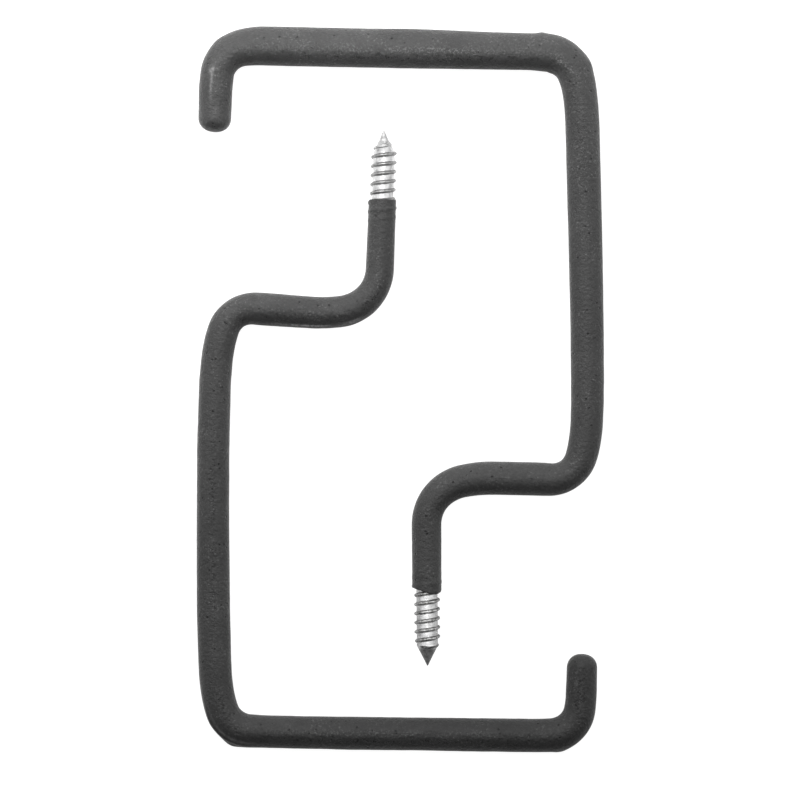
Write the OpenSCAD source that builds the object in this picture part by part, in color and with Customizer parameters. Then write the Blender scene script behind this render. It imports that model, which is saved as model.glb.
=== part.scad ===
// Pair of screw-in overhead hooks for hanging ladders and other long things from a joist.
// Each hook is one steel rod: a pointed wood-screw thread, a shank, a sideways run, a long upright,
// an arm that carries the load and a short tip that turns up. The rod is bent in one plane and is
// dipped in soft vinyl, all but the screw. The two hooks lie flat and nested, one the other way up.
// Units are millimetres. The hooks lie in the XY plane, +Z is up from the surface they lie on, and
// the origin is at the middle of the pair's footprint.

/* [Rod] */
// Diameter of the plain steel rod
rod_d = 7.1; // [6.8:0.1:7.4]
// Length of the threaded end, from its point
thread_l = 30; // [27:0.5:34]
// Outer diameter of the thread, over its crests
thread_d = 7.94; // [7.6:0.02:8.2]
// Diameter of the thread's core
core_d = 6.5; // [6:0.1:6.6]
// Distance from one thread crest to the next, nine to the inch
pitch = 2.82; // [2.4:0.02:3.2]
// Width of the thread's ridge where it meets the core
ridge_base_w = 1.3; // [1:0.1:1.6]
// Width of the thread's crest
crest_w = 0.3; // [0.2:0.05:0.5]
// Angle between the point's axis and its side
point_angle = 26.5; // [22:0.5:32]

/* [Vinyl skin] */
// Diameter over the skin on the run, upright and arm
skin_d = 9.9; // [9.5:0.1:10.4]
// Length over which the skin's diameter changes
skin_taper_l = 2.5; // [1.5:0.5:4]
// Corner radius at the closed end of the skin
skin_end_r = 3.4; // [2:0.1:4]
// Thickness of the skin past the rod's cut end
skin_end_wall = 1.6; // [1:0.1:2.5]
// Diameter of the bead where the skin sagged on hook B's arm
sag_d = 9.4; // [9:0.1:9.8]
// How far the bead's centre sits outside the arm's centre
sag_out = 1.6; // [0.4:0.1:2]

/* [Bends] */
// Radius at the rod's centre of the bends into the run, the upright, the arm and the tip
bend_r = [13.9, 9.7, 9.1, 9.3]; // [8.5:0.1:15]
// Radius at the rod's centre where a bend eases into a straight leg
ease_r = 54; // [40:1:70]
// Angle of the easing before each bend
ease_before = [0, 0, 17.6, 6.4]; // [0:0.1:20]
// Angle of the easing after each bend
ease_after = [10.7, 18.8, 0, 7.3]; // [0:0.1:20]

/* [Hook A] */
// Straight lengths of the shank with its screw, the run, the upright and the arm
a_leg = [42.3, 16.3, 84.1, 87.8]; // [10:0.1:120]
// Angles of the four bends
a_bend = [91.9, 93.9, 89.2, 89.9]; // [85:0.1:95]
// Length of the tip past its bend, over the skin
a_tip_l = 10.4; // [9:0.1:20]
// Length of bare screw outside the skin
a_bare_l = 21; // [18:0.1:26]
// Diameter over the skin on the shank and its bend
a_shank_d = 8.6; // [8.4:0.1:9.9]
// Diameter over the skin at the tip
a_tip_d = 9.3; // [8.6:0.1:9.9]
// Place of the screw's point
a_point = [-4.9, 79.8]; // [-100:0.1:100]
// Direction of the screw's point, turned from straight down
a_turn = 177.9; // [170:0.1:190]

/* [Hook B] */
// Straight lengths of the shank with its screw, the run, the upright and the arm
b_leg = [43.4, 16.4, 85, 87.1]; // [10:0.1:120]
// Angles of the four bends
b_bend = [91.8, 92.4, 87.8, 88.9]; // [85:0.1:95]
// Length of the tip past its bend, over the skin
b_tip_l = 11.6; // [9:0.1:20]
// Length of bare screw outside the skin
b_bare_l = 22.9; // [18:0.1:26]
// Diameter over the skin on the shank and its bend
b_shank_d = 9; // [8.4:0.1:9.9]
// Diameter over the skin at the tip
b_tip_d = 9.7; // [8.6:0.1:9.9]
// Place of the screw's point
b_point = [8.3, -85.2]; // [-100:0.1:100]
// Direction of the screw's point, turned from straight down
b_turn = 0.5; // [-10:0.1:10]

/* [Hidden] */
$fn = 48;
rod_r = rod_d / 2;
core_r = core_d / 2;
thread_r = thread_d / 2;
// The first bend turns right, the other three turn left.
bend_side = [-1, 1, 1, 1];
// A ball at each joint between legs stands this far proud, so that neighbouring legs always overlap.
joint_proud = 0.03;
// The thread runs out over this length, from its core to the plain rod.
runout_l = 1.5;
// Radius of the flat on the screw's point, and the point's length.
point_r = 0.15;
point_l = (core_r - point_r) / tan(point_angle);
// The ridge starts on the point and ends just short of the thread's own end.
ridge_start = 3.6;
ridge_end = thread_l - 1;
ridge_steps = 20;
ridge_sink = 0.3;
ridge_grow_turns = 1.2;
ridge_fade_turns = 0.6;
// Chamfer on the rod's cut end.
rod_chamfer = 0.6;
// The skin's bore is cut from this far outside its open end.
bore_over = 1;
// The sag bead's round ends are centred this far in from the arm's own ends, and so many legs
// come before the arm.
sag_inset = 6;
legs_before_arm = 6;

// ---- Where a hook lies ----

// Puts a hook's own frame in place: it starts at the screw's point, and +Y runs along the shank.
module placed(point, turn) {
    translate([point.x, point.y, skin_d / 2 + joint_proud])
        rotate([0, 0, turn])
            children();
}

// ---- Legs and bends ----

// A leg is [straight length, radius of its section, bend radius, bend angle]. A positive angle
// turns left. Each bend is a tight arc with an eased arc before it, after it, or both.
function bend_legs(length, r, k, angle) = [
    if (ease_before[k] > 0) [length, r, ease_r, bend_side[k] * ease_before[k]],
    [
        ease_before[k] > 0 ? 0 : length,
        r,
        bend_r[k],
        bend_side[k] * (angle - ease_before[k] - ease_after[k])
    ],
    if (ease_after[k] > 0) [0, r, ease_r, bend_side[k] * ease_after[k]]
];

// All the legs of a hook. The radii are those of the shank, run, upright and arm.
function hook_legs(lengths, angles, radii) = [
    for (k = [0:3]) each bend_legs(lengths[k], radii[k], k, angles[k])
];

// A cylinder or cone that runs along +Y.
module bar(length, r, r_end) {
    rotate([-90, 0, 0])
        cylinder(h = length, r1 = r, r2 = r_end);
}

// A straight leg that eases from the last leg's radius to its own.
module straight(length, r_from, r) {
    taper_l = r_from == r ? 0 : skin_taper_l;
    if (taper_l > 0)
        bar(taper_l, r_from, r);
    translate([0, taper_l, 0])
        bar(length - taper_l, r, r);
    translate([0, length, 0])
        sphere(r = r + joint_proud);
}

// Moves the frame round a bend, to where the next leg starts.
module around(bend_radius, angle) {
    side = sign(angle);
    translate([-side * bend_radius, 0, 0])
        rotate([0, 0, angle])
            translate([side * bend_radius, 0, 0])
                children();
}

module bend(bend_radius, angle, r) {
    mirror([angle > 0 ? 0 : 1, 0, 0])
        translate([-bend_radius, 0, 0])
            rotate_extrude(angle = abs(angle))
                translate([bend_radius, 0])
                    circle(r = r);
    around(bend_radius, angle)
        sphere(r = r + joint_proud);
}

// Draws the legs one after another. Each leg is placed in the frame that the last one ended in,
// and the children go at the very end.
module legs_from(legs, r_from, i = 0) {
    if (i < len(legs)) {
        length = legs[i][0];
        r = legs[i][1];
        if (length > 0)
            straight(length, r_from, r);
        translate([0, length, 0]) {
            bend(legs[i][2], legs[i][3], r);
            around(legs[i][2], legs[i][3])
                legs_from(legs, r, i + 1)
                    children();
        }
    } else {
        children();
    }
}

// Moves the frame past the first legs, without drawing them.
module past_legs(legs, count, i = 0) {
    if (i < count)
        translate([0, legs[i][0], 0])
            around(legs[i][2], legs[i][3])
                past_legs(legs, count, i + 1)
                    children();
    else
        children();
}

// ---- Steel rod ----

// One ring of the thread's ridge, at a step along its helix. The ridge grows out of the point,
// fades at its other end, and its foot is sunk into the core.
function ridge_ring(i, count) =
    let (
        y = ridge_start + pitch * i / ridge_steps,
        turn = 360 * i / ridge_steps,
        grow = min(1, i / (ridge_steps * ridge_grow_turns), (count - i) / (ridge_steps * ridge_fade_turns)),
        foot = min(core_r, y * tan(point_angle)) - ridge_sink,
        crest = foot + ridge_sink / 2 + grow * (thread_r - core_r + ridge_sink / 2),
        section = [
            [foot, y - ridge_base_w / 2],
            [crest, y - crest_w / 2],
            [crest, y + crest_w / 2],
            [foot, y + ridge_base_w / 2]
        ]
    )
    [for (p = section) [p[0] * sin(turn), p[1], p[0] * cos(turn)]];

// The right-hand ridge, one closed solid.
module ridge() {
    count = floor((ridge_end - ridge_start) / pitch * ridge_steps);
    sides = 4;
    last = sides * count;
    points = [for (i = [0:count]) each ridge_ring(i, count)];
    walls = [
        for (i = [0:count - 1], k = [0:sides - 1])
            let (
                a = sides * i + k,
                b = sides * i + (k + 1) % sides
            )
            each [[a, b, a + sides], [b, b + sides, a + sides]]
    ];
    ends = [[3, 2, 1, 0], [last, last + 1, last + 2, last + 3]];
    polyhedron(points = points, faces = concat(walls, ends));
}

// Point, core, run-out and the ridge round them.
module screw() {
    bar(point_l, point_r, core_r);
    translate([0, point_l, 0])
        bar(thread_l - point_l, core_r, core_r);
    translate([0, thread_l, 0])
        bar(runout_l, core_r, rod_r);
    ridge();
}

// The plain rod past the thread, through all the bends to its cut end. The cut end lies inside
// the closed end of the skin.
module plain_rod(leg, angles, tip_l) {
    start = thread_l + runout_l;
    lengths = [leg[0] - start, leg[1], leg[2], leg[3]];
    end_l = tip_l - skin_end_wall;
    translate([0, start, 0])
        legs_from(hook_legs(lengths, angles, [rod_r, rod_r, rod_r, rod_r]), rod_r) {
            bar(end_l - rod_chamfer, rod_r, rod_r);
            translate([0, end_l - rod_chamfer, 0])
                bar(rod_chamfer, rod_r, rod_r - rod_chamfer);
        }
}

module rod(leg, angles, tip_l) {
    screw();
    plain_rod(leg, angles, tip_l);
}

// ---- Vinyl skin ----

// The closed end of the skin: a flat disc with a round corner.
module skin_end(r) {
    rotate([-90, 0, 0])
        rotate_extrude()
            intersection() {
                square([r, skin_end_r]);
                union() {
                    square([r - skin_end_r, skin_end_r]);
                    translate([r - skin_end_r, 0])
                        circle(r = skin_end_r);
                }
            }
}

// The outside of the skin, from its open end on the shank to its closed end.
module skin_outside(leg, angles, tip_l, bare_l, shank_r, tip_r) {
    lengths = [leg[0] - bare_l, leg[1], leg[2], leg[3]];
    radii = [shank_r, skin_d / 2, skin_d / 2, skin_d / 2];
    end_l = tip_l - skin_end_r;
    translate([0, bare_l, 0])
        legs_from(hook_legs(lengths, angles, radii), shank_r) {
            bar(skin_taper_l, skin_d / 2, tip_r);
            translate([0, skin_taper_l, 0])
                bar(end_l - skin_taper_l, tip_r, tip_r);
            translate([0, end_l, 0])
                skin_end(tip_r);
        }
}

// The space that the rod takes up in the skin. Over the thread it is a plain bore at the crests.
module skin_bore(leg, angles, tip_l, bare_l) {
    translate([0, bare_l - bore_over, 0])
        bar(thread_l - bare_l + bore_over, thread_r, thread_r);
    translate([0, thread_l, 0])
        bar(runout_l, thread_r, rod_r);
    plain_rod(leg, angles, tip_l);
}

// The bead of skin that sagged along the outer side of the arm while it set.
module sag_bead(leg, angles) {
    bead_l = leg[3] - 2 * sag_inset;
    past_legs(hook_legs(leg, angles, [0, 0, 0, 0]), legs_before_arm)
        translate([sag_out, sag_inset, 0]) {
            sphere(r = sag_d / 2);
            bar(bead_l, sag_d / 2, sag_d / 2);
            translate([0, bead_l, 0])
                sphere(r = sag_d / 2);
        }
}

// ---- The four pieces ----

module hook_a_rod() {
    color("silver")
        placed(a_point, a_turn)
            rod(a_leg, a_bend, a_tip_l);
}

module hook_a_skin() {
    color("dimgray")
        placed(a_point, a_turn)
            difference() {
                skin_outside(a_leg, a_bend, a_tip_l, a_bare_l, a_shank_d / 2, a_tip_d / 2);
                skin_bore(a_leg, a_bend, a_tip_l, a_bare_l);
            }
}

module hook_b_rod() {
    color("silver")
        placed(b_point, b_turn)
            rod(b_leg, b_bend, b_tip_l);
}

module hook_b_skin() {
    color("dimgray")
        placed(b_point, b_turn)
            difference() {
                union() {
                    skin_outside(b_leg, b_bend, b_tip_l, b_bare_l, b_shank_d / 2, b_tip_d / 2);
                    sag_bead(b_leg, b_bend);
                }
                skin_bore(b_leg, b_bend, b_tip_l, b_bare_l);
            }
}

hook_a_rod();
hook_a_skin();
hook_b_rod();
hook_b_skin();
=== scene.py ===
"""Looks for a pair of screw-in overhead hooks: bright zinc screws, and steel rods dipped in grey vinyl.

The CAD part gives the frame. Each of its four nodes is replaced by a finer piece of the same size:
two steel rods with a rolled wood-screw thread, and two vinyl skins with the lumps, sags and ragged
ends of a dipped coat. The hooks are worked out in millimetres up to the last step, which makes them
metres. Floor, cards, lights and camera are in metres.
"""

import math

import bpy
import numpy as np
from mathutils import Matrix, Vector, noise


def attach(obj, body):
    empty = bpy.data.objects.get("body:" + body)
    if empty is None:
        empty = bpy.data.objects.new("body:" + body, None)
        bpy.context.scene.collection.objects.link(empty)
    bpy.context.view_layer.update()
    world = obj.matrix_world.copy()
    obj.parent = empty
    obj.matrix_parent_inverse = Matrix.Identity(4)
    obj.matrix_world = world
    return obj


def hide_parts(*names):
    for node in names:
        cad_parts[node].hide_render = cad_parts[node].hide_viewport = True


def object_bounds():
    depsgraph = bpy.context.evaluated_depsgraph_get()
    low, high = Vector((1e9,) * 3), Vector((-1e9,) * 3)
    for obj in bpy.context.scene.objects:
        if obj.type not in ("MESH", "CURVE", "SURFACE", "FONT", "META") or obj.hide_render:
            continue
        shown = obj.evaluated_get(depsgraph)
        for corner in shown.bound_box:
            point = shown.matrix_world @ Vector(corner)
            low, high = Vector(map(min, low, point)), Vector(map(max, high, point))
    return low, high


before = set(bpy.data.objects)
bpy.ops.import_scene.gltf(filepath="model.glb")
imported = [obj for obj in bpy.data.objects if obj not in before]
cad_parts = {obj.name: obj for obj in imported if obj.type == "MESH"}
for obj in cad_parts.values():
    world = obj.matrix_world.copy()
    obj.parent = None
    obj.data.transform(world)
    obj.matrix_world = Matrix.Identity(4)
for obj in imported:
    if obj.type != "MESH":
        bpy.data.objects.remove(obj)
cad_low, cad_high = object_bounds()

MM = 0.001

# ---- Sizes that both hooks share, as the CAD part has them ----

ROD_R = 3.55
CORE_R = 3.25
THREAD_R = 3.97
THREAD_L = 30.0
RUNOUT_L = 1.5
SCREW_END = THREAD_L + RUNOUT_L
PITCH = 2.82
RIDGE_BASE_W = 1.4
CREST_W = 0.42
# Angle between the point's cone and the rod's centre line.
POINT_ANGLE = math.radians(26.5)
POINT_L = 5.6
ROD_CHAMFER = 0.6
SKIN_END_WALL = 1.6
# Height of both rods' centre lines over the floor.
CENTRE_Z = 4.98

# The bends into the run, the upright, the arm and the tip. Some ease in or out on a wide arc, by
# this many degrees. A side of 1 is a bend to the left.
BEND_R = (13.9, 9.7, 9.1, 9.3)
BEND_SIDE = (-1, 1, 1, 1)
EASE_R = 54.0
EASE_BEFORE = (0.0, 0.0, 17.6, 6.4)
EASE_AFTER = (10.7, 18.8, 0.0, 7.3)

# ---- How finely the pieces are drawn ----

SIDES = 96
SKIN_STEP = 0.45
SCREW_STEP = 0.065
BORE_STEP = 0.15
ROD_STEP = 1.5
END_ROWS = 14
# The rows on each side over which the corners of a coat's outline are smoothed.
SMOOTH_ROWS = 5

# ---- The screw's own shape ----

# Radius of the blunt end of the point, and the length at the point that stays smooth.
POINT_R = 0.12
SMOOTH_POINT_L = 1.0
# Length over which the point's own colour gives way to the thread's.
POINT_FADE_L = 0.6
# How much of the ridge's section is a smooth wave instead of straight flanks.
RIDGE_WAVE = 0.4
RIDGE_GROW_L = PITCH * 1.2
RIDGE_FADE_L = PITCH * 0.6
# Unevenness of the rolled steel, each (height, size, step in seed).
STEEL_LUMPS = ((0.022, 0.8, 0), (0.03, 3.0, 5))

# ---- The vinyl's own shape ----

# Half the skin's height. It lies on the floor, so this stays just under the rod's height over it.
SKIN_UP = 4.9
# Added to both reaches at every station of a coat.
COAT_MORE = 0.09
# The bore is this much wider than the rod, all round.
FIT_GAP = 0.03
# Unevenness of the coat, given as for the steel.
COAT_LUMPS = ((0.05, 13.0, 0), (0.035, 3.4, 1), (0.016, 1.5, 2))
# The sagged bead falls off towards the rod's middle with this power of the angle's cosine.
BEAD_POWER = 1.3
# The thread's rings in the coat fade out over this length, up to the end of the thread.
RINGS_L = 9.0
# The closed end's dome, and how much it is flattened: 2 would be a half ellipse.
END_L = 4.4
END_ROUNDNESS = 2.2
# The open end's section: (share of the way from the thread out to the coat, distance past its edge).
LIP = ((0.0, 0.3), (0.12, 0.08), (0.4, 0.0), (0.7, 0.02), (0.92, 0.12), (1.0, 0.32))
# How ragged the edge is, and how fast that changes round the rod.
LIP_RAGGED = 0.15
LIP_WAVES = 4.0
# The first even rings of the bore and of the coat lie this far past the lip's furthest point, and
# these rings lead to the coat's: each a share of the way from the lip.
BORE_PAST_LIP = 0.5
COAT_PAST_LIP = 0.6
LEAD_SHARES = (0.35, 0.7)

# What differs from hook to hook. Distances run along the rod from the screw's point, and angles
# round the rod are in degrees from its right, with 90 up. Left is the inner side of the last three
# bends.
#   leg, bend      length of each straight leg, and angle of the bend that follows it
#   tip_l          length of the straight tip
#   point, turn    X and Y of the screw's point, and the rod's direction there, degrees left of +Y
#   point_more     how much longer the point is than the part's
#   point_lean     how far the point leans to the right
#   thread_phase   where the ridge crosses the top of the rod
#   ridge_start    where the ridge starts to grow
#   zinc           the screw's look, as bright_zinc takes it
#   seed           picks the hook's own lumps
#   ring_height    how far the thread shows through the coat
#   lip            (angle, distance) round the coat's open end
#   coat           (distance, reach to the left, reach to the right) of the centre line
#   bead           (distance, extra reach to the right) where the coat sagged
# The others are soft spots on the coat, each (distance, angle, length, spread of angle, strength):
#   ripple         a lump, with its height as its strength
#   scuff, fold_highlight    a lighter rubbed mark, and a painted highlight along a fold line
#   grain_highlights   painted highlights on the coat's grain
#   grain_pits_and_shade   pits in the coat's grain, painted dark as shade
HOOK_A = {
    "name": "hook_a",
    "leg": (42.3, 16.3, 84.1, 87.8),
    "bend": (91.9, 93.9, 89.2, 89.9),
    "tip_l": 10.4,
    "point_more": 0.45,
    "point_lean": 0.35,
    "point": (-4.9, 79.8),
    "turn": 177.9,
    "thread_phase": 1.6,
    "ridge_start": 2.4,
    "zinc": {
        "shade": 0.91, "flank": 0.5, "crest": 0.62, "point_shade": 0.66, "worn": 0.1, "dirt_and_ridge_shade": 0.4
    },
    "seed": 3.0,
    "ring_height": 0.3,
    "lip": ((0, 21.7), (20, 21.15), (45, 20.9), (180, 20.9), (240, 21.1), (300, 21.0)),
    "coat": (
        (20.0, 4.12, 4.08), (44.0, 4.25, 4.27), (50.0, 4.42, 4.3), (60.0, 4.75, 4.75),
        (72.0, 4.78, 4.92), (86.0, 4.96, 5.05), (95.0, 4.6, 4.6), (104.0, 4.88, 4.7),
        (114.0, 5.32, 4.3), (124.0, 5.1, 4.6), (138.0, 4.82, 5.04), (160.0, 4.77, 5.14),
        (188.0, 5.1, 5.03), (206.0, 5.55, 4.47), (217.0, 5.22, 4.78), (224.0, 5.5, 4.75),
        (228.0, 5.48, 4.8), (235.0, 5.04, 4.8), (250.0, 4.94, 4.88), (262.0, 5.0, 4.95),
        (284.0, 5.08, 4.8), (304.0, 5.2, 4.95), (321.0, 5.28, 4.87), (328.0, 5.17, 5.15),
        (339.0, 4.6, 4.86), (344.0, 4.58, 4.74), (354.0, 4.35, 4.75),
    ),
    "bead": ((0.0, 0.0), (360.0, 0.0)),
    "ripple": (
        (227.3, -8, 1.8, 17, 0.7), (223.0, 30, 6.5, 5.5, 0.42), (326.0, -8, 1.6, 17, 0.4),
        (276.0, -4, 34.0, 15, 0.12), (72.0, 150, 11.0, 4, 0.36), (58.6, 144, 1.5, 7, 0.3),
        (180.0, 30, 16.0, 14, 0.06),
    ),
    "scuff": ((345.0, 112, 1.4, 9, 0.4), (226.5, 46, 5.0, 4.5, 0.9)),
    "fold_highlight": ((71.0, 147, 11.0, 3.6, 1.0), (59.3, 141, 1.8, 4.5, 0.8)),
    "grain_highlights": ((276.0, 92, 42.0, 13, 1.0), (72.0, 97, 14.0, 12, 0.6)),
    "grain_pits_and_shade": (
        (276.0, 66, 44.0, 13, 1.0), (165.0, 92, 36.0, 14, 0.6), (217.0, 100, 8.0, 22, 0.7),
        (342.0, 93, 9.0, 24, 0.9), (72.0, 114, 14.0, 12, 0.8), (51.0, 107, 5.0, 16, 0.9),
    ),
}
HOOK_B = {
    "name": "hook_b",
    "leg": (43.4, 16.4, 85.0, 87.1),
    "bend": (91.8, 92.4, 87.8, 88.9),
    "tip_l": 11.2,
    "point_more": 0.0,
    "point_lean": 0.0,
    "point": (8.3, -85.2),
    "turn": 0.5,
    "thread_phase": 2.75,
    "ridge_start": 4.9,
    "zinc": {
        "shade": 0.88, "flank": 0.52, "crest": 0.9, "point_shade": 0.2, "worn": 0.7, "dirt_and_ridge_shade": 0.8
    },
    "seed": 11.0,
    "ring_height": 0.24,
    "lip": (
        (0, 23.3), (18, 22.7), (38, 22.15), (74, 22.05), (90, 22.6), (106, 22.95),
        (122, 23.35), (150, 23.9), (180, 24.2), (225, 23.6), (270, 22.8), (315, 22.9),
    ),
    "coat": (
        (22.0, 4.45, 4.4), (42.0, 4.46, 4.55), (50.0, 4.55, 4.55), (60.0, 4.75, 5.1),
        (68.0, 5.08, 5.08), (88.0, 5.07, 5.05), (97.0, 4.45, 4.86), (104.0, 4.62, 5.13),
        (116.0, 5.35, 4.6), (126.0, 5.18, 4.85), (144.0, 4.99, 5.15), (176.0, 5.18, 5.17),
        (208.0, 5.44, 4.98), (214.0, 5.13, 5.3), (219.0, 4.9, 5.78), (224.0, 5.36, 5.77),
        (229.5, 5.84, 6.03), (237.0, 5.15, 6.05), (250.0, 5.17, 6.17), (276.0, 5.35, 6.62),
        (290.0, 5.3, 6.46), (312.0, 5.38, 6.62), (322.0, 5.22, 6.6), (328.0, 5.12, 6.0),
        (337.0, 4.7, 5.52), (344.0, 4.85, 5.34), (356.0, 4.75, 5.05),
    ),
    "bead": (
        (216.0, 0.0), (224.0, 0.6), (234.0, 1.0), (250.0, 1.1), (276.0, 1.5), (322.0, 1.35),
        (330.0, 0.6), (340.0, 0.0),
    ),
    "ripple": (
        (234.0, 2, 1.5, 24, 0.4), (222.5, 5, 1.8, 26, 0.32), (331.0, 4, 1.6, 22, 0.2),
        (276.0, 4, 34.0, 15, 0.15), (160.0, 150, 14.0, 14, 0.06),
    ),
    "scuff": ((341.2, 76, 4.2, 3.6, 0.95), (337.6, 71, 1.2, 8, 1.0), (349.5, 96, 1.3, 9, 0.2)),
    "fold_highlight": (),
    "grain_highlights": ((276.0, 92, 46.0, 13, 1.0), (227.0, 104, 6.0, 14, 0.8)),
    "grain_pits_and_shade": ((276.0, 118, 46.0, 14, 1.0), (200.0, 95, 12.0, 18, 0.4)),
}


# ---- The rod's line ----


def stretches(hook):
    """Every straight and bent stretch of a rod, as (length, curvature). Left is positive."""
    for k in range(4):
        yield hook["leg"][k], 0.0
        main = hook["bend"][k] - EASE_BEFORE[k] - EASE_AFTER[k]
        for radius, degrees in ((EASE_R, EASE_BEFORE[k]), (BEND_R[k], main), (EASE_R, EASE_AFTER[k])):
            yield radius * math.radians(degrees), BEND_SIDE[k] / radius
    yield hook["tip_l"], 0.0


def rod_length(hook):
    return sum(length for length, _ in stretches(hook))


def along_arc(distance, curvature, turn):
    """How far a point moves in X and Y when it goes this distance round an arc."""
    half = curvature * distance / 2
    chord = distance * np.sinc(half / np.pi)
    return -chord * np.sin(turn + half), chord * np.cos(turn + half)


def centre_line(hook, distance):
    """X, Y and the turn from +Y, at these distances from the screw's point."""
    at_x, at_y = hook["point"]
    turn = math.radians(hook["turn"])
    x = np.zeros_like(distance)
    y = np.zeros_like(distance)
    turns = np.zeros_like(distance)
    start = 0.0
    for length, curvature in stretches(hook):
        # The first stretch also takes the points that lie before it.
        here = (distance >= start) | (start == 0)
        past = distance[here] - start
        step_x, step_y = along_arc(past, curvature, turn)
        x[here] = at_x + step_x
        y[here] = at_y + step_y
        turns[here] = turn + curvature * past
        end_x, end_y = along_arc(length, curvature, turn)
        at_x += float(end_x)
        at_y += float(end_y)
        turn += curvature * length
        start += length
    return x, y, turns


def swept(hook, distance, side, up):
    """Points in metres, this far along the rod, to its right and over its centre line."""
    x, y, turn = centre_line(hook, distance)
    return np.stack([x + side * np.cos(turn), y + side * np.sin(turn), CENTRE_Z + up], axis=-1) * MM


def angles_round(rows):
    """One row of angles for each row of the grid, from the right, over the top, to the left."""
    return np.tile(np.arange(SIDES) * math.tau / SIDES, (rows, 1))


# ---- Meshes ----


def closed_grid(name, points, first, last):
    """A closed mesh from rings of points, with a point at each end."""
    rows, sides = points.shape[:2]
    vertices = np.concatenate([points.reshape(-1, 3), [first, last]])
    row, col = np.mgrid[0 : rows - 1, 0:sides]
    here = row * sides + col
    beside = row * sides + (col + 1) % sides
    quads = np.stack([here, here + sides, beside + sides, beside], axis=-1).reshape(-1, 4)
    first_i = rows * sides
    last_i = first_i + 1
    last_ring = first_i - sides
    neighbours = [(k, (k + 1) % sides) for k in range(sides)]
    caps = [(first_i, a, b) for a, b in neighbours]
    caps += [(last_i, last_ring + b, last_ring + a) for a, b in neighbours]
    mesh = bpy.data.meshes.new(name)
    mesh.from_pydata(vertices.tolist(), [], quads.tolist() + caps)
    mesh.validate()
    mesh.shade_smooth()
    piece = bpy.data.objects.new(name, mesh)
    bpy.context.scene.collection.objects.link(piece)
    return piece


def paint(piece, name, grid):
    """Stores a value for each vertex of a closed grid, for its material to read."""
    values = np.concatenate([grid.ravel(), grid[0, :1], grid[-1, :1]])
    piece.data.attributes.new(name, "FLOAT", "POINT").data.foreach_set("value", values)


def noise_at(points, size, seed):
    """Smooth noise from about -1 to 1 at points in metres, with lumps of this size in millimetres."""
    flat = (points.reshape(-1, 3) / (size * MM) + seed).tolist()
    return np.array([noise.noise(Vector(p)) for p in flat]).reshape(points.shape[:-1])


def smooth_steps(distance, stations, column):
    """A value that runs through the stations, with its corners smoothed over the rows beside them."""
    places = [s[0] for s in stations]
    values = np.interp(distance, places, [s[column] for s in stations])
    # A Hann window starts and ends at zero, so two more are asked for and cut off.
    weights = np.hanning(2 * SMOOTH_ROWS + 3)[1:-1]
    padded = np.pad(values, SMOOTH_ROWS, mode="edge")
    return np.convolve(padded, weights / weights.sum(), mode="valid")


# ---- The steel rods ----


def ridge_share(hook, distance, around):
    """How much of the thread's ridge stands here: 0 on the core and 1 on the crest."""
    turn = (math.pi / 2 - around) / math.tau
    from_ridge = distance - hook["thread_phase"] - PITCH * turn
    from_ridge = (from_ridge + PITCH / 2) % PITCH - PITCH / 2
    ridge_at = distance - from_ridge
    flank = (RIDGE_BASE_W / 2 - np.abs(from_ridge)) / ((RIDGE_BASE_W - CREST_W) / 2)
    straight = np.clip(flank, 0, 1)
    wave = straight * straight * (3 - 2 * straight)
    grow = np.clip((ridge_at - hook["ridge_start"]) / RIDGE_GROW_L, 0, 1)
    fade = np.clip((THREAD_L - ridge_at) / RIDGE_FADE_L, 0, 1)
    return (wave * RIDGE_WAVE + straight * (1 - RIDGE_WAVE)) * grow * fade


def steel_radius(hook, distance, around):
    """The rod's radius: point, core with its ridge, run-out and plain rod."""
    point = POINT_R + distance * math.tan(POINT_ANGLE)
    core = np.minimum(point, CORE_R)
    run_out = np.clip((distance - THREAD_L) / RUNOUT_L, 0, 1) * (ROD_R - CORE_R)
    return core + run_out + ridge_share(hook, distance, around) * (THREAD_R - CORE_R)


def rod_stations(hook):
    """Distances of the rings past the screw, up to the chamfer of the rod's cut end."""
    end = rod_length(hook) - SKIN_END_WALL - ROD_CHAMFER
    return np.linspace(SCREW_END, end, round((end - SCREW_END) / ROD_STEP))


def rod_points(hook, distance, radius, around):
    """Points on the round rod. Its point is a little longer than the part's, and may lean."""
    tip = np.clip(1 - distance / POINT_L, 0, 1)
    along = distance - hook["point_more"] * tip
    lean = hook["point_lean"] * tip
    return swept(hook, along, lean + radius * np.cos(around), radius * np.sin(around))


def steel_rod(hook):
    """The rod as one closed mesh, from the screw's point to the cut end."""
    screw = np.arange(SCREW_STEP, SCREW_END, SCREW_STEP)
    plain = rod_stations(hook)
    cut = plain[-1] + ROD_CHAMFER
    stations = np.concatenate([screw, plain, [cut]])
    around = angles_round(len(stations))
    distance = np.repeat(stations[:, None], SIDES, axis=1)
    radius = steel_radius(hook, distance, around)
    radius[-1] -= ROD_CHAMFER
    on_screw = (distance > SMOOTH_POINT_L) & (distance < THREAD_L)
    smooth = rod_points(hook, distance, radius, around)[on_screw]
    for height, size, step in STEEL_LUMPS:
        radius[on_screw] += height * noise_at(smooth, size, hook["seed"] + step)
    points = rod_points(hook, distance, radius, around)
    zero = np.zeros(1)
    first = rod_points(hook, zero, zero, zero)[0]
    last = rod_points(hook, zero + cut, zero, zero)[0]
    rod = closed_grid(hook["name"] + "_steel_rod", points, first, last)
    paint(rod, "ridge", ridge_share(hook, distance, around))
    paint(rod, "point", np.clip((POINT_L - distance) / POINT_FADE_L, 0, 1))
    return rod


# ---- The vinyl skins ----


def past_lip(hook, further):
    """This much further along the rod than any of the coat's open end."""
    return max(distance for _, distance in hook["lip"]) + further


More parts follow.
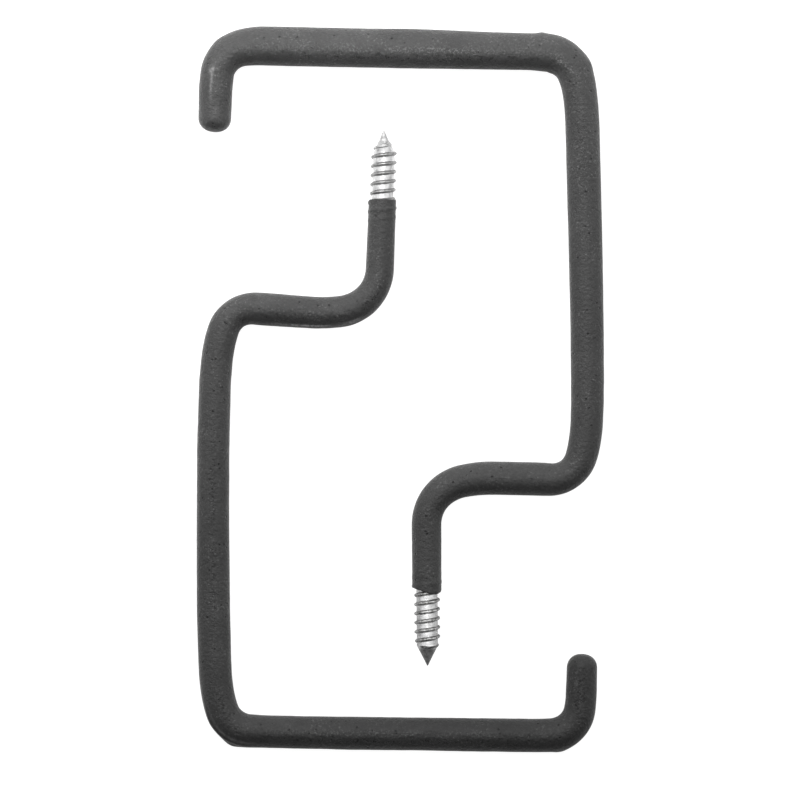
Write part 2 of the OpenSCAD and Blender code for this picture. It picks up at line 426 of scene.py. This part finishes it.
def lip_distance(hook, around):
    """Where the coat's open end lies at each angle, a little ragged."""
    angles, distances = zip(*hook["lip"])
    lips = np.interp(np.degrees(around), angles, distances, period=360)
    circle = np.stack([np.cos(around), np.sin(around)], axis=-1) * LIP_WAVES
    ragged = [noise.noise(Vector((x, y, hook["seed"]))) for x, y in circle.tolist()]
    return lips + LIP_RAGGED * np.array(ragged)


def coat_section(hook, distance, around):
    """How far the coat reaches to the side and up, at rows of distances and angles."""
    line = distance[:, 0]
    left = smooth_steps(line, hook["coat"], 1)[:, None] + COAT_MORE
    right = smooth_steps(line, hook["coat"], 2)[:, None] + COAT_MORE
    bead = smooth_steps(line, hook["bead"], 1)[:, None]
    reach = (left + right - bead) / 2
    lean = (right - bead - left) / 2
    rise = np.minimum(reach, SKIN_UP)
    outer = np.clip(np.cos(around), 0, 1)
    side = lean + reach * np.cos(around) + bead * outer**BEAD_POWER
    return side, rise * np.sin(around)


def spots(listed, distance, around):
    """The sum of all the listed soft spots on the coat, at each distance and angle."""
    total = np.zeros_like(distance)
    for place, angle, length, spread, strength in listed:
        off = (np.degrees(around) - angle + 180) % 360 - 180
        total += strength * np.exp(-(((distance - place) / length) ** 2) - (off / spread) ** 2)
    return total


def thread_rings(hook, distance, around):
    """The thread that shows through the coat near its open end."""
    fade = np.clip((THREAD_L - distance) / RINGS_L, 0, 1)
    return hook["ring_height"] * fade * ridge_share(hook, distance, around)


def end_shape(hook):
    """Distance and size of the rings over the coat's closed end, a dome with a flattened top."""
    angle = np.linspace(0, math.pi / 2, END_ROWS + 1)[1:-1]
    forward = np.sin(angle) ** (2 / END_ROUNDNESS)
    size = np.cos(angle) ** (2 / END_ROUNDNESS)
    return rod_length(hook) - END_L + END_L * forward, size


def coat_rings(hook):
    """Rings of the coat's outside: their distances, and their reach to the side and up."""
    start = past_lip(hook, COAT_PAST_LIP)
    body_end = rod_length(hook) - END_L
    body = np.linspace(start, body_end, round((body_end - start) / SKIN_STEP))
    end, end_size = end_shape(hook)
    line = np.concatenate([body, end])
    size = np.concatenate([np.ones(len(body)), end_size])[:, None]
    around = angles_round(len(line))
    distance = np.repeat(line[:, None], SIDES, axis=1)
    side, up = coat_section(hook, distance, around)
    points = swept(hook, distance, side, up)
    swell = np.zeros_like(distance)
    for height, lump, step in COAT_LUMPS:
        swell += height * noise_at(points, lump, hook["seed"] + step)
    swell += spots(hook["ripple"], distance, around) + thread_rings(hook, distance, around)
    side = (side + swell * np.cos(around)) * size
    up = (up + swell * np.sin(around)) * size
    return distance, side, up


def lip_rings(hook, coat_start, coat_r):
    """Rings from the thread out over the ragged lip and on to the coat: distances and radii."""
    around = angles_round(1)[0]
    lip_at = lip_distance(hook, around)
    thread_r = steel_radius(hook, lip_at, around) + FIT_GAP
    rings = [(lip_at + past, thread_r + (coat_r - thread_r) * share) for share, past in LIP]
    rim_at = rings[-1][0]
    rings += [(rim_at * (1 - share) + coat_start * share, coat_r) for share in LEAD_SHARES]
    return zip(*rings)


def bore_rings(hook):
    """Rings of the coat's inside, from its closed end to its lip: distances and radii."""
    # The last step is left out where it would come too close to the first ring past the screw.
    thread = np.arange(past_lip(hook, BORE_PAST_LIP), SCREW_END - BORE_STEP / 2, BORE_STEP)
    line = np.concatenate([thread, rod_stations(hook)])[::-1]
    distance = np.repeat(line[:, None], SIDES, axis=1)
    radius = steel_radius(hook, distance, angles_round(len(line))) + FIT_GAP
    cut = np.full((1, SIDES), line[0] + ROD_CHAMFER + FIT_GAP)
    cut_r = np.full((1, SIDES), ROD_R - ROD_CHAMFER)
    return np.concatenate([cut, distance]), np.concatenate([cut_r, radius])


def vinyl_skin(hook):
    """The coat as one closed mesh: its bore, its lip, its outside and its closed end."""
    coat_at, coat_side, coat_up = coat_rings(hook)
    lip_at, lip_r = lip_rings(hook, coat_at[0], np.hypot(coat_side[0], coat_up[0]))
    bore_at, bore_r = bore_rings(hook)
    distance = np.concatenate([bore_at, lip_at, coat_at])
    around = angles_round(len(distance))
    radius = np.concatenate([bore_r, lip_r])
    inside = around[: len(radius)]
    side = np.concatenate([radius * np.cos(inside), coat_side])
    up = np.concatenate([radius * np.sin(inside), coat_up])
    points = swept(hook, distance, side, up)
    zero = np.zeros(1)
    first = swept(hook, zero + bore_at[0, 0], zero, zero)[0]
    last = swept(hook, zero + rod_length(hook), zero + coat_side[-1].mean(), zero)[0]
    skin = closed_grid(hook["name"] + "_vinyl_skin", points, first, last)
    for mark in ("scuff", "fold_highlight", "grain_highlights", "grain_pits_and_shade"):
        paint(skin, mark, spots(hook[mark], distance, around))
    return skin


# ---- Materials ----

# Greys of the vinyl and of the marks on it.
VINYL_SHADE = 0.026
# The pits' grey, as a share of the vinyl's dark grey: painted shade in the pits.
PIT_SHADE_SHARE = 0.25
SPECK_SHADE = 0.075
# A painted highlight on the grain.
GRAIN_HIGHLIGHT_GREY = 0.085
SCUFF_SHADE = 0.11
# A painted highlight along a fold line.
FOLD_HIGHLIGHT_GREY = 0.25
# What lies on the zinc: flecks of dirt, and grime with painted shade on the ridge.
FLECK_COLOR = (0.12, 0.12, 0.115)
RIDGE_GRIME_AND_SHADE_COLOR = (0.14, 0.14, 0.13)


class Nodes:
    """A short way to make and join the nodes of one material."""

    def __init__(self, name):
        self.material = bpy.data.materials.new(name)
        self.material.use_nodes = True
        self.tree = self.material.node_tree
        self.tree.nodes.clear()
        self.place = self.add("TexCoord").outputs["Object"]

    def add(self, kind, **settings):
        node = self.tree.nodes.new("ShaderNode" + kind)
        for key, value in settings.items():
            setattr(node, key, value)
        return node

    def join(self, output, node_input):
        self.tree.links.new(output, node_input)

    def feed(self, value, node_input):
        """Sets an input to a number, a grey or a colour, or joins another node's output to it."""
        if isinstance(value, bpy.types.NodeSocket):
            self.join(value, node_input)
        elif isinstance(value, tuple):
            node_input.default_value = (*value, 1)
        elif node_input.type == "RGBA":
            node_input.default_value = (value, value, value, 1)
        else:
            node_input.default_value = value

    def noise(self, size, detail=2.0, roughness=0.5, stretch=None):
        """Noise with features of this size in millimetres."""
        node = self.add("TexNoise")
        node.inputs["Scale"].default_value = 1 / (size * MM)
        node.inputs["Detail"].default_value = detail
        node.inputs["Roughness"].default_value = roughness
        place = self.place
        if stretch:
            mapping = self.add("Mapping")
            mapping.inputs["Scale"].default_value = stretch
            self.join(place, mapping.inputs["Vector"])
            place = mapping.outputs["Vector"]
        self.join(place, node.inputs["Vector"])
        return node.outputs["Fac"]

    def cells(self, size):
        """Distance from the nearest of many scattered points, this far apart in millimetres."""
        node = self.add("TexVoronoi", feature="F1")
        node.inputs["Scale"].default_value = 1 / (size * MM)
        self.join(self.place, node.inputs["Vector"])
        return node.outputs["Distance"]

    def painted(self, name):
        """A value stored on the mesh."""
        return self.add("Attribute", attribute_name=name).outputs["Fac"]

    def ramp(self, value, *stops):
        """A grey that changes over the stops, each (place, grey)."""
        node = self.add("ValToRGB")
        elements = node.color_ramp.elements
        while len(elements) < len(stops):
            elements.new(1.0)
        for element, (place, grey) in zip(elements, stops):
            element.position = place
            element.color = (grey, grey, grey, 1)
        self.join(value, node.inputs["Fac"])
        return node.outputs["Color"]

    def patches(self, size, low, high, detail=2.0, roughness=0.5):
        """Noise of this size in millimetres, spread between two stops, each (place, grey)."""
        return self.ramp(self.noise(size, detail, roughness), low, high)

    def math(self, operation, a, b):
        node = self.add("Math", operation=operation)
        self.feed(a, node.inputs[0])
        self.feed(b, node.inputs[1])
        return node.outputs["Value"]

    def times(self, a, b):
        return self.math("MULTIPLY", a, b)

    def mix(self, share, a, b, blend_type="MIX"):
        """Colour b over colour a, as strong as its share."""
        node = self.add("Mix", data_type="RGBA", blend_type=blend_type)
        factor, color_a, color_b = (node.inputs[k] for k in (0, 6, 7))
        self.feed(share, factor)
        self.feed(a, color_a)
        self.feed(b, color_b)
        return node.outputs[2]

    def bump(self, height, depth, under=None):
        """A bump this deep, in millimetres, over another one."""
        node = self.add("Bump")
        node.inputs["Strength"].default_value = 1.0
        node.inputs["Distance"].default_value = depth * MM
        self.join(height, node.inputs["Height"])
        if under:
            self.join(under, node.inputs["Normal"])
        return node.outputs["Normal"]

    def surface(self, **looks):
        """The finished material. Each look is named as the shader's input, with _ for a space."""
        shader = self.add("BsdfPrincipled")
        for name, value in looks.items():
            self.feed(value, shader.inputs[name.replace("_", " ")])
        output = self.add("OutputMaterial")
        self.join(shader.outputs["BSDF"], output.inputs["Surface"])
        return self.material


def dipped_vinyl(name):
    """Soft dark grey vinyl with an orange-peel skin, pits, scuffs, light specks, and painted shade and
    highlights.
    """
    n = Nodes(name)
    dark = VINYL_SHADE * 0.85
    light = VINYL_SHADE * 1.15
    broad = n.patches(16, (0.3, dark), (0.7, light))
    grain = n.patches(0.8, (0.3, 0.7), (0.7, 1.0), detail=3, roughness=0.6)
    color = n.mix(1.0, broad, grain, "MULTIPLY")

    # Round pits, and rough ones in a band of the grain: bumped in, and painted dark as shade.
    pits = n.ramp(n.cells(2.3), (0.09, 1.0), (0.2, 0.0))
    some = n.patches(3.1, (0.46, 0.0), (0.52, 1.0), detail=0)
    rough_pits_and_shade = n.patches(1.0, (0.41, 1.0), (0.49, 0.0), detail=3, roughness=0.7)
    rough_pits_and_shade = n.times(rough_pits_and_shade, n.painted("grain_pits_and_shade"))
    pits_and_pit_shade = n.math("MAXIMUM", n.times(pits, some), rough_pits_and_shade)
    color = n.mix(pits_and_pit_shade, color, PIT_SHADE_SHARE * dark)

    # Light specks all over, and painted highlights on the grain in a band along the coat.
    specks = n.patches(0.7, (0.58, 0.0), (0.7, 1.0), roughness=0.6)
    dusty = n.patches(7, (0.42, 0.0), (0.6, 0.7))
    color = n.mix(n.times(specks, dusty), color, SPECK_SHADE)
    marks = n.patches(0.62, (0.5, 0.0), (0.64, 1.0), detail=3, roughness=0.7)
    marks = n.times(marks, n.patches(4.5, (0.36, 0.25), (0.58, 1.0)))
    color = n.mix(n.times(n.painted("grain_highlights"), marks), color, GRAIN_HIGHLIGHT_GREY)

    # Scuffs, and a painted highlight along the fold line, both patchy.
    patchy = n.patches(1.3, (0.38, 0.3), (0.6, 1.0), detail=3, roughness=0.7)
    color = n.mix(n.times(n.painted("scuff"), patchy), color, SCUFF_SHADE)
    color = n.mix(n.times(n.painted("fold_highlight"), patchy), color, FOLD_HIGHLIGHT_GREY)

    roughness = n.patches(2.2, (0.3, 0.4), (0.7, 0.56), detail=3, roughness=0.6)
    peel = n.bump(n.noise(1.1, 3, 0.6), 0.3)
    fine = n.bump(n.noise(0.45, 2, 0.6), 0.07, peel)
    holes = n.bump(n.math("SUBTRACT", 1.0, pits_and_pit_shade), 0.15, fine)
    return n.surface(
        Base_Color=color,
        Roughness=roughness,
        Normal=holes,
        Specular_IOR_Level=0.33,
        Sheen_Weight=0.16,
        Sheen_Roughness=0.4,
    )


def bright_zinc(name, shade, flank, crest, point_shade, worn, dirt_and_ridge_shade):
    """Zinc-plated steel with painted shade on its thread's ridge and a point of its own colour.

    The flanks and crests keep this share of the plating's grey: painted shade on the ridge. The point
    loses this much of its metallic look as it is worn; the last argument sets the flecks of dirt and
    the patchy grime and painted shade on the ridge.
    """
    n = Nodes(name)
    plating = n.patches(1.6, (0.35, shade * 0.74), (0.6, shade), detail=4, roughness=0.6)
    ridge = n.painted("ridge")
    # Flanks and crests painted darker than the roots: painted shade on the thread's ridge.
    ridge_painted_shade = n.ramp(ridge, (0.08, 1.0), (0.28, flank), (0.6, flank), (0.92, crest))
    color = n.mix(1.0, plating, ridge_painted_shade, "MULTIPLY")

    dull = (0.36, point_shade * 0.7)
    bright = (0.62, point_shade * 1.2)
    point = n.painted("point")
    color = n.mix(point, color, n.patches(1.1, dull, bright, detail=3, roughness=0.6))

    flecks = n.patches(0.45, (0.6, 0.0), (0.72, dirt_and_ridge_shade), detail=3, roughness=0.7)
    color = n.mix(flecks, color, FLECK_COLOR)
    # Patchy dark grey on the ridge: partly grime, partly painted shade along the thread.
    ridge_grime_and_shade = n.patches(0.7, (0.44, 0.0), (0.6, dirt_and_ridge_shade), detail=3, roughness=0.7)
    on_ridge = n.ramp(ridge, (0.1, 0.0), (0.4, 1.0))
    color = n.mix(n.times(ridge_grime_and_shade, on_ridge), color, RIDGE_GRIME_AND_SHADE_COLOR)

    roughness = n.patches(0.9, (0.3, 0.26), (0.7, 0.46), detail=3, roughness=0.6)
    marks = n.bump(n.noise(0.5, 3, 0.6, stretch=(1, 3.5, 1)), 0.03)
    fine = n.bump(n.noise(0.16, 2, 0.6), 0.008, marks)
    metallic = n.math("SUBTRACT", 1.0, n.times(point, worn))
    return n.surface(Base_Color=color, Roughness=roughness, Normal=fine, Metallic=metallic)


def floor_material():
    """A white table top that is lit from inside, so that shadows on it hardly show."""
    n = Nodes("white_table")
    return n.surface(
        Base_Color=n.patches(300, (0.0, 0.14), (1.0, 0.16), detail=1),
        Roughness=n.patches(40, (0.0, 0.6), (1.0, 0.7), detail=1),
        Normal=n.bump(n.noise(60, 1), 0.01),
        Emission_Color=(1, 1, 1),
        Emission_Strength=0.95,
    )


def card_material(name, shade):
    return Nodes(name).surface(Base_Color=shade, Roughness=0.9)


# ---- The pieces ----


def finish_piece(piece, material, body, node):
    piece.data.materials.append(material)
    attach(piece, body)
    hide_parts(node)


for hook in (HOOK_A, HOOK_B):
    name = hook["name"]
    zinc = bright_zinc(name + "_zinc", **hook["zinc"])
    vinyl = dipped_vinyl(name + "_vinyl")
    finish_piece(steel_rod(hook), zinc, name, name + "_rod")
    finish_piece(vinyl_skin(hook), vinyl, name, name + "_skin")

# ---- Floor, cards and lights ----

centre = (cad_low + cad_high) / 2


def hide_from(obj, *rays):
    """Lets these kinds of ray pass through an object."""
    for ray in rays:
        setattr(obj, "visible_" + ray, False)


def panel(name, size, location, normal, material):
    """A flat panel that faces along normal."""
    w, h = size[0] / 2, size[1] / 2
    mesh = bpy.data.meshes.new(name)
    mesh.from_pydata([(-w, -h, 0), (w, -h, 0), (w, h, 0), (-w, h, 0)], [], [(0, 1, 2, 3)])
    mesh.materials.append(material)
    obj = bpy.data.objects.new(name, mesh)
    obj.location = location
    obj.rotation_euler = Vector(normal).to_track_quat("Z", "Y").to_euler()
    bpy.context.scene.collection.objects.link(obj)
    return obj


def softbox(name, size, power, location):
    """A rectangular light that faces the middle of the pair."""
    light = bpy.data.lights.new(name, "AREA")
    light.shape = "RECTANGLE"
    light.size, light.size_y = size
    light.energy = power
    obj = bpy.data.objects.new(name, light)
    obj.location = location
    obj.rotation_euler = (centre - Vector(location)).to_track_quat("-Z", "Y").to_euler()
    bpy.context.scene.collection.objects.link(obj)
    return obj


# The hooks are lit by the table from below but don't reflect it.
table = panel("table", (6.0, 6.0), (0, 0, 0), (0, 0, 1), floor_material())
hide_from(table, "glossy", "shadow")

# What they reflect instead is a grey floor, a grey wall and a black card that leans over the lower
# arm. The flag is seen by shadow rays alone, and keeps part of the near light off the lower arm.
for name, size, location, normal, shade, hidden in (
    ("grey_floor", (4.0, 4.0), (0, 0, 0.02 * MM), (0, 0, 1), 0.42, ("diffuse", "shadow")),
    ("grey_wall", (5.0, 3.2), (0.3, -1.25, 1.62), (0, 1, 0), 0.12, ()),
    ("black_card", (1.2, 0.172), (0, -0.19, 0.10), (0, 0.81, -0.58), 0.01, ()),
    ("flag", (0.5, 0.03), (0.2, -0.03, 0.045), (0, 1, 0), 0.01, ("diffuse", "glossy")),
):
    card = panel(name, size, location, normal, card_material(name, shade))
    hide_from(card, "camera", *hidden)

for name, size, power, location, hidden in (
    ("near_key", (0.25, 0.17), 1.56, (-0.1, 0.22, 0.15), ("glossy",)),
    ("right_key", (0.25, 0.1), 0.95, (0.24, 0.24, 0.1), ("glossy",)),
    ("top_light", (0.5, 0.3), 3.0, (-0.1, 0.36, 1.25), ()),
):
    hide_from(softbox(name, size, power, location), "camera", *hidden)

# The room's brightness, and its grey from the horizon up to where it is white.
ROOM_STRENGTH = 1.05
ROOM_GREYS = ((0.05, 0.62), (0.55, 1.0))


def room_light():
    """A pale room that is brighter overhead than at its horizon."""
    world = bpy.data.worlds.new("pale_room")
    world.use_nodes = True
    tree = world.node_tree
    direction = tree.nodes.new("ShaderNodeTexCoord").outputs["Generated"]
    parts = tree.nodes.new("ShaderNodeSeparateXYZ")
    tree.links.new(direction, parts.inputs["Vector"])
    ramp = tree.nodes.new("ShaderNodeValToRGB")
    for element, (place, grey) in zip(ramp.color_ramp.elements, ROOM_GREYS):
        element.position = place
        element.color = (grey, grey, grey, 1)
    tree.links.new(parts.outputs["Z"], ramp.inputs["Fac"])
    tree.links.new(ramp.outputs["Color"], tree.nodes["Background"].inputs["Color"])
    tree.nodes["Background"].inputs["Strength"].default_value = ROOM_STRENGTH
    return world


bpy.context.scene.world = room_light()

# ---- Camera ----

CAMERA_HEIGHT = 1.3
SENSOR_MM = 36
# The view is this many times the pair's length across, and its middle is a little off theirs.
VIEW_SHARE = 1.105
VIEW_OFF = (-0.25 * MM, -3.05 * MM)

view_width = VIEW_SHARE * (cad_high.y - cad_low.y)
camera_data = bpy.data.cameras.new("camera")
camera_data.sensor_width = SENSOR_MM
camera_data.lens = SENSOR_MM * (CAMERA_HEIGHT - centre.z) / view_width
camera_data.clip_start = 0.01
camera = bpy.data.objects.new("camera", camera_data)
camera.location = (centre.x + VIEW_OFF[0], centre.y + VIEW_OFF[1], CAMERA_HEIGHT)
bpy.context.scene.collection.objects.link(camera)
bpy.context.scene.camera = camera
bpy.context.scene.view_settings.view_transform = "Standard"
